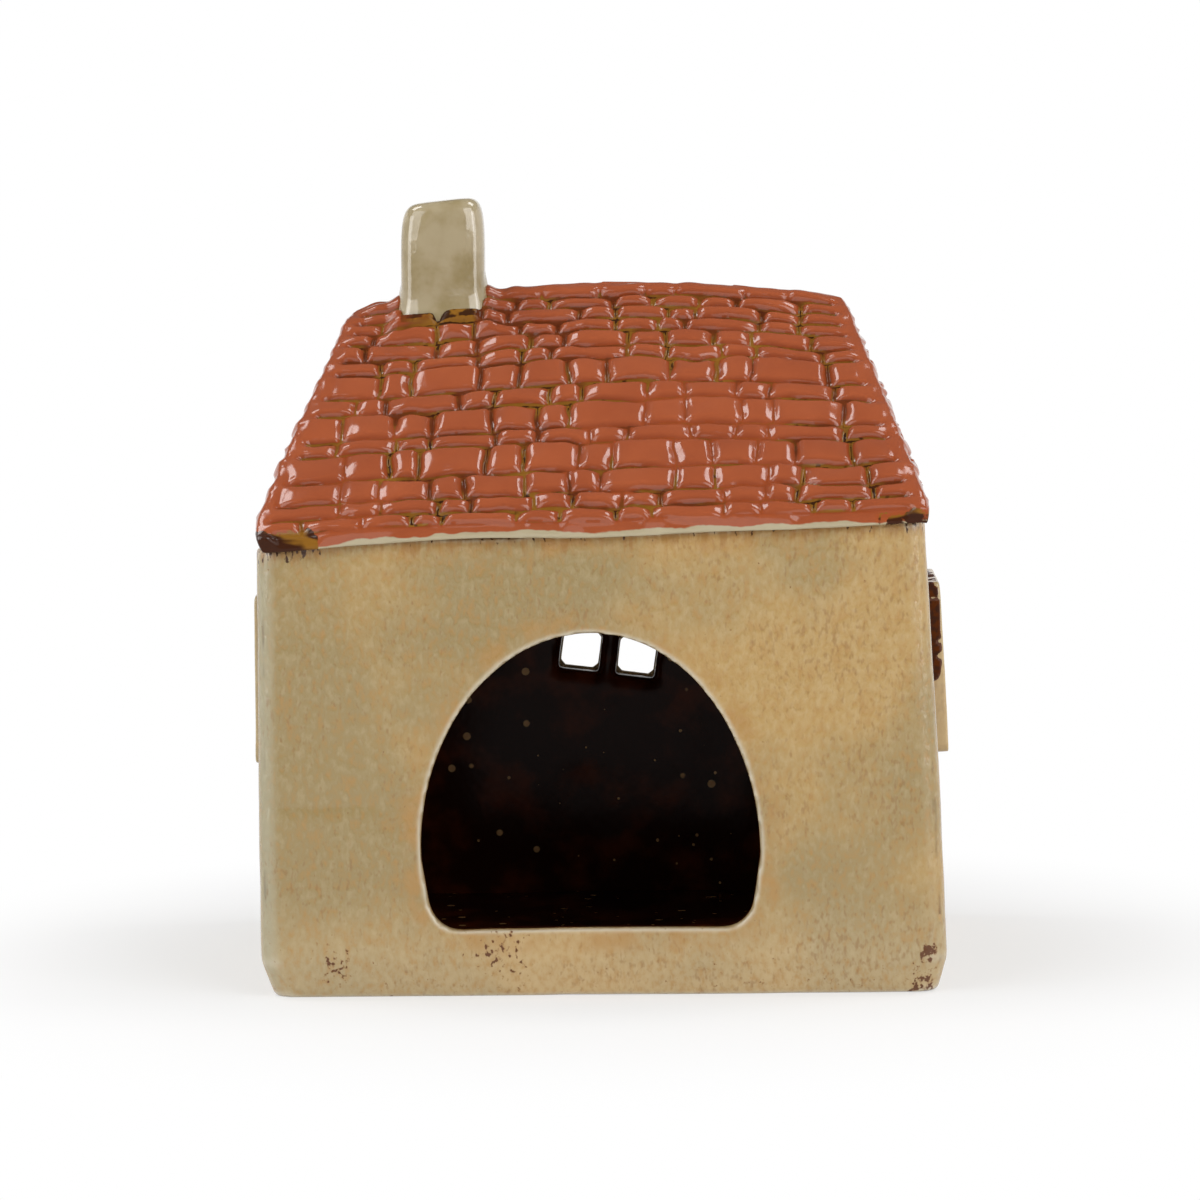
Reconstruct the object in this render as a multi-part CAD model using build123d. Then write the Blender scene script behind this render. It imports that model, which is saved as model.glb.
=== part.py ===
from build123d import *
import os
from math import atan2, cos, hypot, radians, sin, tan

# A tealight house of glazed earthenware, built from clay slabs that are luted together at mitred edges.
# Millimetres, +Z up, origin on the table under the middle of the foot.
# -Y is the rear, with the arch that the tealight goes in by. +Y is the front, with the window and the door.

# Body: four wall slabs round a floor
body_width = 130.4
body_depth = 96.0
wall_thickness = 5.0
floor_thickness = 6.0
corner_radius = 4.0
foot_inset = 2.2  # the walls draw in by this at the table
foot_height = 7.0
eaves_height = 88.0
left_lean = -0.7  # each end wall leans to the left by this at the eaves
right_lean = 4.4

# Arch in the rear wall: half an ellipse over sides that draw in towards the sill
arch_width = 64.0
arch_centre_x = -2.4
arch_sill_height = 13.0
arch_spring_height = 27.0
arch_top_height = 69.2
arch_sill_width = 60.0
arch_corner_radius = 6.0

# Roof: a steep-ended hip of four slabs, set down a little on the left
roof_rise = 42.5
roof_thickness = 5.5
roof_settle_deg = 1.0
eaves_overhang = 2.0
end_overhang = 0.0
eaves_edge = 2.6
left_hip_run = 16.7
right_hip_run = 13.6

# Roof tiles: raised stones in uneven courses
tile_width = 9.2
tile_relief = 1.0
tile_joint = 0.8
tile_draft = 0.45
tile_root = 0.5
tile_margin = 1.0
course_height_shares = (11, 13, 21, 27, 14, 25, 17, 26, 13, 16, 12, 12, 11, 11)
tile_width_shares = (0.78, 1.34, 0.96, 0.66, 1.58, 0.88, 1.18, 0.72, 1.42, 0.84, 1.08)
tile_relief_shares = (1.0, 0.86, 1.12, 0.94, 1.06, 0.9, 1.16)

# Chimney: a plain rounded stack astride the ridge
chimney_width = 16.6
chimney_depth = 13.5
chimney_corner_radius = 3.6
chimney_crown = 1.6
chimney_height_over_ridge = 19.0
chimney_centre_x = -31.2

# Windows: a slab with a sunk sash and four panes, cut through the wall behind it
window_width = 30.0
window_height = 33.0
window_corner_radius = 2.0
window_relief = 3.2
window_level_share = 0.655  # how high the end windows' middles are, as a share of the eaves' height
front_window_level_share = 0.694
front_window_tilt_deg = 8.0  # set askew, its left side lower as the front is faced
pane_size = 9.0
pane_corner = 1.4
pane_clearance = 0.3  # the holes in the wall are this much wider than the panes, all round
glazing_bar = 2.6
sash_lip = 1.6
sash_depth = 1.2

# Front door: a round-headed slab scored into planks, with a pressed-on knob
door_width = 22.0
door_clearance = 7.4  # between its head and the window over it
door_foot_height = 1.5
door_relief = 2.4
plank_count = 3
plank_groove_width = 1.0
plank_groove_depth = 0.8
knob_radius = 1.8
knob_relief = 1.4
knob_chamfer = 0.5
knob_inset = 3.6
knob_level_share = 0.475  # of the door's height

overrun = 4.0  # how far every cutter runs past what it cuts

# Derived sizes of the walls
left_face_x = -body_width / 2
right_face_x = body_width / 2
rear_face_y = -body_depth / 2
front_face_y = body_depth / 2
left_lean_rad = atan2(left_lean, eaves_height)
right_lean_rad = atan2(right_lean, eaves_height)
settle_rad = radians(roof_settle_deg)
ring_height = eaves_height + body_width * tan(settle_rad)

# Derived sizes of the roof, in the frame of the eaves
eaves_left_x = left_face_x - left_lean
eaves_right_x = right_face_x - right_lean
roof_centre_x = (eaves_left_x + eaves_right_x) / 2
roof_half_length = (eaves_right_x - eaves_left_x) / 2 + end_overhang
roof_half_depth = body_depth / 2 + eaves_overhang
slope_rise = roof_rise - eaves_edge
slope_pitch = atan2(slope_rise, roof_half_depth)
left_hip_pitch = atan2(slope_rise, left_hip_run)
right_hip_pitch = atan2(slope_rise, right_hip_run)

# Derived heights of the windows, and of the door under the front one
window_level = window_level_share * eaves_height
front_window_level = front_window_level_share * eaves_height
front_tilt = radians(front_window_tilt_deg)
front_window_reach = (window_height * cos(front_tilt) + window_width * sin(front_tilt)) / 2
door_height = front_window_level - front_window_reach - door_clearance - door_foot_height

eaves_frame = Plane(
    origin=(roof_centre_x, 0, eaves_height + roof_centre_x * tan(settle_rad)),
    x_dir=(cos(settle_rad), 0, sin(settle_rad)),
    z_dir=(-sin(settle_rad), 0, cos(settle_rad)),
)


def plan_corners(inset, height):
    """Corners of the house's outline at a height, drawn in by inset, from rear left to front left."""
    left = left_face_x - height * tan(left_lean_rad) + inset
    right = right_face_x - height * tan(right_lean_rad) - inset
    rear = rear_face_y + inset
    front = front_face_y - inset
    return [(left, rear, height), (right, rear, height), (right, front, height), (left, front, height)]


def column(bottom_points, top_points):
    """A solid with straight sides between two outlines of the same number of points."""
    faces = [make_face(Polyline(*points, close=True)) for points in (bottom_points, top_points)]
    return loft(faces, ruled=True)


def plan_block(inset, low, high):
    return column(plan_corners(inset, low), plan_corners(inset, high))


def plan_face(inset, height):
    """The house's outline at a height, with its corners rounded."""
    (left, rear, _), _, (right, front, _), _ = plan_corners(inset, height)
    outline = RectangleRounded(right - left, front - rear, corner_radius)
    return Pos((left + right) / 2, (rear + front) / 2, height) * outline


def mitred_side(first, second, low, high):
    """The wedge of the plan that belongs to the wall between two corners, cut at the mitres."""
    def outline(height):
        outer = plan_corners(-overrun, height)
        inner = plan_corners(wall_thickness, height)
        return [outer[first], outer[second], inner[second], inner[first]]

    return column(outline(low), outline(high))


def wall_slabs():
    """The four walls, mitred where they meet, with tops cut to the settled eaves."""
    sections = [plan_face(foot_inset, 0), plan_face(0, foot_height), plan_face(0, ring_height)]
    outer = loft(sections, ruled=True)
    ring = outer - plan_block(wall_thickness, -overrun, ring_height + overrun)
    ring = split(ring, bisect_by=eaves_frame, keep=Keep.BOTTOM)
    corners = {"rear": (0, 1), "right": (1, 2), "front": (2, 3), "left": (3, 0)}
    return {
        side: ring & mitred_side(first, second, -overrun, ring_height + overrun)
        for side, (first, second) in corners.items()
    }


def arch_cutter():
    """The tealight's way in, as a block through the rear wall."""
    half = arch_width / 2
    sill_half = arch_sill_width / 2
    crown = arch_top_height - arch_spring_height
    head = EllipticalCenterArc((0, arch_spring_height), half, crown, arc_size=180)
    foot = Polyline(
        (-half, arch_spring_height),
        (-sill_half, arch_sill_height),
        (sill_half, arch_sill_height),
        (half, arch_spring_height),
    )
    opening = make_face(head + foot)
    sill_corners = opening.vertices().sort_by(Axis.Y)[:2]
    opening = fillet(sill_corners, arch_corner_radius)
    start_y = rear_face_y + wall_thickness + overrun
    frame = Plane((arch_centre_x, start_y, 0), x_dir=(1, 0, 0), z_dir=(0, -1, 0))
    return frame * extrude(opening, wall_thickness + 2 * overrun)


def wall_frames():
    """Frames on the outer faces at the windows: X along the wall, Y up it, Z out of it."""
    left_x = left_face_x - window_level * tan(left_lean_rad)
    right_x = right_face_x - window_level * tan(right_lean_rad)
    return {
        "front": Plane(
            (0, front_face_y, front_window_level), x_dir=(-cos(front_tilt), 0, sin(front_tilt)), z_dir=(0, 1, 0)
        ),
        "left": Plane(
            (left_x, 0, window_level),
            x_dir=(0, -1, 0),
            z_dir=(-cos(left_lean_rad), 0, -sin(left_lean_rad)),
        ),
        "right": Plane(
            (right_x, 0, window_level),
            x_dir=(0, 1, 0),
            z_dir=(cos(right_lean_rad), 0, sin(right_lean_rad)),
        ),
    }


def pane_grid(pane, low, high):
    """Four panes as blocks between two depths of a wall's frame."""
    pitch = pane_size + glazing_bar
    panes = Sketch() + [place * pane for place in GridLocations(pitch, pitch, 2, 2)]
    return Pos(0, 0, low) * extrude(panes, high - low)


def wall_holes():
    """The four square holes in the wall behind a window."""
    hole = pane_size + 2 * pane_clearance
    return pane_grid(Rectangle(hole, hole), -wall_thickness - overrun, overrun)


def window_slab():
    """One window, lying on its wall's frame: a slab with a sunk sash and four panes with cut corners."""
    sash_size = 2 * pane_size + glazing_bar + 2 * sash_lip
    slab = extrude(RectangleRounded(window_width, window_height, window_corner_radius), window_relief)
    sash = extrude(Rectangle(sash_size, sash_size), sash_depth + overrun)
    pane = Rectangle(pane_size, pane_size)
    pane = chamfer(pane.vertices(), pane_corner)
    return slab - Pos(0, 0, window_relief - sash_depth) * sash - pane_grid(pane, -overrun, window_relief)


def front_door():
    """Round-headed door with scored planks, on the front wall."""
    half = door_width / 2
    spring = door_height - half
    outline = Polyline((half, spring), (half, 0), (-half, 0), (-half, spring))
    outline += CenterArc((0, spring), half, 0, 180)
    slab = extrude(make_face(outline), door_relief)
    plank = door_width / plank_count
    groove = Box(plank_groove_width, 2 * door_height, 2 * plank_groove_depth)
    grooves = [Pos(plank * i - half, 0, door_relief) * groove for i in range(1, plank_count)]
    return door_frame() * (slab - grooves)


def door_frame():
    return Plane((0, front_face_y, door_foot_height), x_dir=(-1, 0, 0), z_dir=(0, 1, 0))


def door_knob():
    """A button of clay pressed on the door."""
    button = extrude(Circle(knob_radius), knob_relief)
    button = chamfer(button.faces().sort_by(Axis.Z)[-1].edges(), knob_chamfer)
    return door_frame() * Pos(door_width / 2 - knob_inset, knob_level_share * door_height, door_relief) * button


def hip_block(half_depth, left, right, left_run, right_run, edge, rise, below):
    """A hipped roof as a solid, on the frame of the eaves: where a gable crosses its sloping ends."""
    gable = Polyline(
        (-half_depth, -below),
        (half_depth, -below),
        (half_depth, edge),
        (0, rise),
        (-half_depth, edge),
        close=True,
    )
    ends = Polyline(
        (left, -below),
        (right, -below),
        (right, edge),
        (right - right_run, rise),
        (left + left_run, rise),
        (left, edge),
        close=True,
    )
    along = extrude(Plane.YZ * make_face(gable), roof_half_length + overrun, both=True)
    across = extrude(Plane.XZ * make_face(ends), half_depth + overrun, both=True)
    return along & across


def roof_outer():
    return hip_block(
        roof_half_depth, -roof_half_length, roof_half_length, left_hip_run, right_hip_run, eaves_edge, roof_rise, 0
    )


def roof_inner():
    """The hollow under the roof, parallel to the slopes and one slab's thickness inside them."""
    def drawn_in(half, pitch):
        return half + eaves_edge / tan(pitch) - roof_thickness / sin(pitch)

    half_depth = drawn_in(roof_half_depth, slope_pitch)
    left = -drawn_in(roof_half_length, left_hip_pitch)
    right = drawn_in(roof_half_length, right_hip_pitch)
    rise = half_depth * tan(slope_pitch)
    return hip_block(
        half_depth, left, right, rise / tan(left_hip_pitch), rise / tan(right_hip_pitch), 0, rise, overrun
    )


def roof_wedges():
    """Blocks that part the roof into its four slabs, at mitres that halve each hip and the ridge."""
    def slope_points(offset):
        low = -overrun
        ridge = roof_rise + offset / cos(slope_pitch)

        def spread(half, pitch):
            return half + (eaves_edge - low) / tan(pitch) + offset / sin(pitch)

        depth = spread(roof_half_depth, slope_pitch)
        left = -spread(roof_half_length, left_hip_pitch)
        right = spread(roof_half_length, right_hip_pitch)
        rear_left, rear_right = (left, -depth, low), (right, -depth, low)
        front_left, front_right = (left, depth, low), (right, depth, low)
        ridge_left = (left + (ridge - low) / tan(left_hip_pitch), 0, ridge)
        ridge_right = (right - (ridge - low) / tan(right_hip_pitch), 0, ridge)
        return {
            "rear": [rear_left, rear_right, ridge_right, ridge_left],
            "front": [front_right, front_left, ridge_left, ridge_right],
            "left": [front_left, rear_left, ridge_left],
            "right": [rear_right, front_right, ridge_right],
        }

    inner = slope_points(-roof_thickness - overrun)
    outer = slope_points(overrun)
    return {side: column(inner[side], outer[side]) for side in outer}


def slope_frames():
    """Frames on the outer slopes: origin mid-eaves, X along the eaves, Y up the slope, Z out of it."""
    return {
        "rear": Plane(
            (0, -roof_half_depth, eaves_edge), x_dir=(1, 0, 0), z_dir=(0, -sin(slope_pitch), cos(slope_pitch))
        ),
        "front": Plane(
            (0, roof_half_depth, eaves_edge), x_dir=(-1, 0, 0), z_dir=(0, sin(slope_pitch), cos(slope_pitch))
        ),
        "left": Plane(
            (-roof_half_length, 0, eaves_edge),
            x_dir=(0, -1, 0),
            z_dir=(-sin(left_hip_pitch), 0, cos(left_hip_pitch)),
        ),
        "right": Plane(
            (roof_half_length, 0, eaves_edge),
            x_dir=(0, 1, 0),
            z_dir=(sin(right_hip_pitch), 0, cos(right_hip_pitch)),
        ),
    }


def course_widths(length, row):
    """Uneven tile widths that fill one course, started at another place in the cycle on each row."""
    count = max(1, round(length / tile_width))
    cycle = len(tile_width_shares)
    shares = [tile_width_shares[(i + 4 * row) % cycle] for i in range(count)]
    return [length * share / sum(shares) for share in shares]


def tile(width, height, relief):
    """One raised stone with drafted sides, lying on its slope and rooted in it."""
    stone = Wedge(
        width,
        relief + tile_root,
        height,
        tile_draft,
        tile_draft,
        width - tile_draft,
        height - tile_draft,
        align=(Align.CENTER, Align.MIN, Align.CENTER),
    )
    return Pos(0, 0, -tile_root) * Rot(90, 0, 0) * stone


def slope_tiles(length, half, left_run, right_run):
    """All the tiles of one slope, in the slope's frame, cut off along hips that draw in by the runs."""
    def ends_at(up):
        left = left_run * up / length + tile_margin - half
        right = half - tile_margin - right_run * up / length
        return left, right

    top = min(length, 2 * length * (half - tile_margin - tile_joint) / (left_run + right_run))
    low_left, low_right = ends_at(0)
    high_left, high_right = ends_at(top)
    trim = Polyline((low_left, 0), (low_right, 0), (high_right, top), (high_left, top), close=True)
    trim = Pos(0, 0, -overrun) * extrude(make_face(trim), 2 * overrun)
    tiles = []
    up = 0
    for row, share in enumerate(course_height_shares):
        if up + tile_joint > top:
            break
        height = length * share / sum(course_height_shares)
        left, right = ends_at(min(up + height / 2, top))
        clear_left, clear_right = ends_at(up + height)
        across = left
        for i, width in enumerate(course_widths(right - left, row)):
            relief = tile_relief * tile_relief_shares[(i + 3 * row) % len(tile_relief_shares)]
            stone = tile(width - tile_joint, height - tile_joint, relief)
            stone = Pos(across + width / 2, up + height / 2, 0) * stone
            at_hip = across < clear_left or across + width > clear_right
            tiles.append(stone & trim if at_hip else stone)
            across += width
        up += height
    return tiles


def roof_slabs():
    """The four roof slabs with their tiles, and the chimney that the tiles stop at."""
    shell = roof_outer() - roof_inner()
    frames = slope_frames()
    slope_length = hypot(roof_half_depth, slope_rise)
    spans = {
        "rear": (slope_length, roof_half_length, left_hip_run, right_hip_run),
        "front": (slope_length, roof_half_length, right_hip_run, left_hip_run),
        "left": (hypot(left_hip_run, slope_rise), roof_half_depth, roof_half_depth, roof_half_depth),
        "right": (hypot(right_hip_run, slope_rise), roof_half_depth, roof_half_depth, roof_half_depth),
    }
    slabs = {}
    for side, wedge in roof_wedges().items():
        slab = shell & wedge
        slab += [frames[side] * stone for stone in slope_tiles(*spans[side])]
        slabs[side] = eaves_frame * slab
    chimney_seat = chimney_stack() - eaves_frame * roof_outer()
    return {side: slab - chimney_seat for side, slab in slabs.items()}, chimney_seat


def chimney_stack():
    """The stack as a plain block that runs down into the roof."""
    ridge_height = eaves_height + chimney_centre_x * tan(settle_rad) + roof_rise
    foot_drop = chimney_depth / 2 * tan(slope_pitch) + overrun
    section = RectangleRounded(chimney_width, chimney_depth, chimney_corner_radius)
    stack = extrude(section, foot_drop + chimney_height_over_ridge)
    stack = chamfer(stack.faces().sort_by(Axis.Z)[-1].edges(), chimney_crown)
    return Pos(chimney_centre_x, 0, ridge_height - foot_drop) * stack


def build():
    walls = wall_slabs()
    roofs, chimney = roof_slabs()
    frames = wall_frames()
    nodes = {"base_slab": plan_block(wall_thickness, 0, floor_thickness)}
    nodes["rear_wall"] = walls["rear"] - arch_cutter()
    for side, frame in frames.items():
        nodes[f"{side}_wall"] = walls[side] - frame * wall_holes()
        nodes[f"{side}_window"] = frame * window_slab()
    for side, slab in roofs.items():
        nodes[f"{side}_roof_slab"] = slab
    nodes["chimney"] = chimney
    nodes["front_door"] = front_door()
    nodes["door_knob"] = door_knob()
    return nodes


os.makedirs("parts", exist_ok=True)
for name, shape in build().items():
    export_step(shape, f"parts/{name}.step")
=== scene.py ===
"""Tealight house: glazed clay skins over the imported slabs, with a soft studio round them. Metres, +Z up."""
import itertools
import math

import bmesh
import bpy
import numpy as np
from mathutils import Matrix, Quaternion, Vector


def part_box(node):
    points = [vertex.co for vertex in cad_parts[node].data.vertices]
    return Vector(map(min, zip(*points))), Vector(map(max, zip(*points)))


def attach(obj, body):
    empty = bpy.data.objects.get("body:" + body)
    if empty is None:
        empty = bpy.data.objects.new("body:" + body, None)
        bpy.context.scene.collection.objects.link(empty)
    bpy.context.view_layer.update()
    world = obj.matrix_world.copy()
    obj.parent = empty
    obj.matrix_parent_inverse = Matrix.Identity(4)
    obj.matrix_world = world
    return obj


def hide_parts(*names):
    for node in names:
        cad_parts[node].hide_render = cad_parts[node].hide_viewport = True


MM = 0.001

# Camera: where the photograph was taken from, in the part's frame
EYE = Vector((0.0211, -0.982, 0.1666))
AIM = Vector((-0.0012, 0, 0.0706))
LENS_MM = 150.4
ROLL_DEG = 0.7

# Clay: how finely each kind of slab is remeshed, how many times its edges are softened, and how far that
# has to round an edge off for its glaze to be at its thinnest
ROOF_GRAIN = 0.45 * MM
WALL_GRAIN = 0.75 * MM
TRIM_GRAIN = 0.36 * MM
ROOF_SOFTEN = 4
WALL_SOFTEN = 7
TRIM_SOFTEN = 5
CHIMNEY_SOFTEN = 8
EDGE_ROUND = 0.25 * MM

# Hand-made unevenness: how far it moves the surface, and over what distance it varies
WOBBLE = 0.45 * MM
WOBBLE_SIZE = 38 * MM
WOBBLE_START = 12 * MM
DIMPLE = 0.09 * MM
DIMPLE_SIZE = 7 * MM
EXTRA_SETTLE = math.tan(math.radians(1.0))
RIDGE_LIFT = 0.9 * MM
RIDGE_END_ROUND = {"left": 1.2 * MM, "right": 0.4 * MM}
RIDGE_END_SIZE = 5 * MM
LEFT_EAVES_TUCK = 1.7 * MM
LEFT_EAVES_TUCK_HEIGHT = 5 * MM
RIDGE_CROWN = 2.0 * MM
EAVES_SAG = 0.9 * MM
EAVES_SAG_SIZE = 21 * MM
EAVES_SAG_HEIGHT = 7 * MM
COLLAR = 1.3 * MM
COLLAR_REACH = 3 * MM
CHIMNEY_FLARE = 0.7 * MM
CHIMNEY_FLARE_HEIGHT = 4 * MM
CHIMNEY_SINK = 1.2 * MM
CHIMNEY_SQUARENESS = 3.5
CHIMNEY_CROWN_SQUARENESS = 7
CHIMNEY_SLIM = 0.6 * MM
CHIMNEY_RINGS = 48
CHIMNEY_SEGMENTS = 96
CREASE_DEPTH = 0.3 * MM
CREASE_HEIGHT = 37 * MM
CREASE_HALF = 1.3 * MM

# Roof tiles: rounded stones that stand on the slabs, with joints that wander and partly fill with glaze
TILE_LEAST = 0.3 * MM
TILE_RIM = 0.85 * MM
TILE_ROUND = 1.1 * MM
SHOULDER = 0.55 * MM
SHOULDER_REACH = 2.4 * MM
SHOULDER_SPREAD = 0.6
SHOULDER_POWER = 1.3
SHOULDER_MOST = 0.85
TILE_GROW = 1.4
TILE_SINK = 0.5 * MM
TILE_CROWN = 0.3 * MM
TILE_TILT = 0.3 * MM
JOINT_HALF = 0.24 * MM
JOINT_WANDER = 0.8 * MM
JOINT_WANDER_SIZE = 9 * MM
JOINT_RAG = 0.35 * MM
JOINT_RAG_SIZE = 3 * MM
JOINT_FILL = 0.45
JOINT_FILL_SIZE = 15 * MM
TILE_SWELL = 0.2 * MM
TILE_SWELL_SIZE = 3.4 * MM
TILE_LEAN_BLUR = 30

# Roof slabs: how far under the joints the tiles still move the clay, and where the inside glaze starts
ROOF_SKIN = (-1.5 * MM, -0.3 * MM)
ROOF_INSIDE = (2.0 * MM, 2.6 * MM)
ROOF_INSIDE_EDGE = 1.5 * MM

# Hips and ridge: how wide the plain band beside them is, and how high it stands against the tiles
HIP_BAND = 3.2 * MM
HIP_FILL = 0.8

# Dry joints: where between the tiles and along the scorched eaves the glaze has no gloss, how far over the
# eaves the joints start, and how near the chimney the roof is all joint
DRY_RELIEF = 0.65
DRY_SCORCH = 0.4
DRY_EAVES = 2.5 * MM
EAVES_PLAIN = (2.2 * MM, 3.4 * MM)
CHIMNEY_JOINT = (-0.7 * MM, 0.2 * MM)

# Glaze: how deep into a wall the outside glaze reaches round an edge, how far the foot draws in, and how far
# the pale rims (thin glaze with a painted highlight) and the stains round the arch spread
GLAZE_TURN = 1.1 * MM
GLAZE_TURN_FADE = 0.6 * MM
FOOT_INSET = 2.4 * MM
FOOT_HEIGHT = 7 * MM
FOOT_LINE = (0.4 * MM, 1.2 * MM)
GLAZE_WAVE = 0.35 * MM
GLAZE_WAVE_SIZE = 3 * MM
RIM_BLUR = 3
TRIM_RIM_BLUR = 10
HALO_BLUR = 90
HALO_FOOT = (6 * MM, 12 * MM)

# Panes: how far the glaze closes in on them, how far beyond a window they can reach through its wall, and
# how much of a window's edge has no pane
PANE_FILL = 0.75 * MM
PANE_DEPTH = 6 * MM
PANE_MARGIN = 4.4 * MM

# Windows: how wide the bare seam is where each one meets its wall, and how ragged its edge is
SEAMS = {"front_window": 0.5 * MM, "left_window": 0.2 * MM, "right_window": 2.9 * MM}
SEAM_SIDES = {"front_window": "front", "left_window": "left", "right_window": "right"}
SEAM_FADE = 0.8 * MM
SEAM_RAG = 0.6
SEAM_RAG_FINE = 1.4 * MM
SEAM_RAG_COARSE = 6 * MM
SEAM_BARE = 0.75

# Scorched stretches of the rear eaves, as x, reach and strength, and where they fade away from the rear
SCORCHES = ((-59 * MM, 8 * MM, 1.0), (57 * MM, 7 * MM, 0.55))
SCORCH_FADE = (-47 * MM, -36 * MM)
FAINT_SCORCH = 0.1
FAINT_SCORCH_SIZE = 22 * MM

# Specks and chips low on the rear wall, as x, height, radius and strength
MARKS = (
    (-20 * MM, 10 * MM, 9 * MM, 0.55),
    (-51 * MM, 7 * MM, 6 * MM, 0.55),
    (61 * MM, 8 * MM, 2.6 * MM, 1.2),
    (60 * MM, 2 * MM, 5 * MM, 0.7),
)

# Seeds: a number for each use of the noise
WOBBLE_SEED = 11
DIMPLE_SEED = 21
GLAZE_SEED = 31
WANDER_SEED = 41
SWELL_SEED = 43
FILL_SEED = 45
RAG_SEED = 47
SAG_SEED = 48
TILE_SEED = 51
SCORCH_SEED = 61
SEAM_SEED = 71

# Which way each side of the house faces
SIDES = {"rear": (0, -1, 0), "front": (0, 1, 0), "left": (-1, 0, 0), "right": (1, 0, 0)}

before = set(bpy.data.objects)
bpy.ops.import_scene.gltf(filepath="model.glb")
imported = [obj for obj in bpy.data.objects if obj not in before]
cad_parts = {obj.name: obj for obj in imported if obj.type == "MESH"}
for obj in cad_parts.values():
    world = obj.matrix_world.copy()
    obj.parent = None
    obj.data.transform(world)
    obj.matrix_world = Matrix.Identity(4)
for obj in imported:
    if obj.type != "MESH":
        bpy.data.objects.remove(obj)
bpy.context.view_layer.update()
scene = bpy.context.scene


# Noise and blending on arrays of points

def lattice(cells, seed):
    """Repeatable random numbers from 0 to 1 at whole-number points."""
    mixed = cells @ np.array([374761393, 668265263, 1440662683]) + seed * 1013904223
    mixed = (mixed ^ (mixed >> 13)) * 1274126177
    return ((mixed ^ (mixed >> 16)) & 0xFFFFFF) / 0xFFFFFF


def cloud(points, size, seed):
    """Smooth noise from -1 to 1, with features about size across."""
    grid = points / size
    cell = np.floor(grid).astype(np.int64)
    part = grid - cell
    part = part * part * (3 - 2 * part)
    total = np.zeros(len(points))
    for corner in itertools.product((0, 1), repeat=3):
        weight = np.prod(np.where(corner, part, 1 - part), axis=1)
        total += weight * lattice(cell + corner, seed)
    return 2 * total - 1


def drift(points, size, seed):
    """Three clouds at once, as a direction to move each point in."""
    return np.stack([cloud(points, size, seed + axis) for axis in range(3)], axis=1)


def ease(low, high, values):
    """0 below low, 1 above high and a smooth rise between."""
    share = np.clip((values - low) / (high - low), 0, 1)
    return share * share * (3 - 2 * share)


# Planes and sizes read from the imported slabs

def face_plane(node, outward):
    """A slab's main outer face: its normal, and its lowest and highest level along that normal."""
    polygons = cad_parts[node].data.polygons
    normals = np.array([polygon.normal for polygon in polygons])
    centres = np.array([polygon.center for polygon in polygons])
    areas = np.array([polygon.area for polygon in polygons])
    tilts, group = np.unique(np.round(normals, 2), axis=0, return_inverse=True)
    spread = np.bincount(group.ravel(), areas * (normals @ outward > 0.1))
    facing = normals @ tilts[spread.argmax()] > 0.99
    normal = (normals[facing] * areas[facing, None]).sum(axis=0)
    normal /= np.linalg.norm(normal)
    levels = centres[facing] @ normal
    return normal, levels.min(), levels.max()


WALL_PLANES = {side: face_plane(f"{side}_wall", outward) for side, outward in SIDES.items()}
SLOPES = {
    side: face_plane(f"{side}_roof_slab", np.array(outward) + (0, 0, 1)) for side, outward in SIDES.items()
}
eaves_left = Vector(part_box("left_wall")[1])
eaves_right = Vector(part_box("right_wall")[1])
eaves_mid_z = (eaves_left.z + eaves_right.z) / 2
half_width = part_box("base_slab")[1][0]
ridge_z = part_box("rear_roof_slab")[1][2]


def eaves_z(x):
    """Height of the walls' settled tops."""
    slope = (eaves_right.z - eaves_left.z) / (eaves_right.x - eaves_left.x)
    return eaves_left.z + slope * (x - eaves_left.x)


def depth_in_house(points):
    """How far inside the nearest wall's outer face each point is."""
    return np.min([top - points @ normal for normal, _, top in WALL_PLANES.values()], axis=0)


def roof_levels(points):
    """How far outside the joints of each slope every point is, with a row for each side."""
    return np.array([points @ normal - joints for normal, joints, _ in SLOPES.values()])


def height_over_roof(points):
    """How far outside the roof's joints each point is, and how much further out than from the next slope."""
    levels = np.sort(roof_levels(points), axis=0)
    return levels[-1], levels[-1] - levels[-2]


# Clay skins

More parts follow.
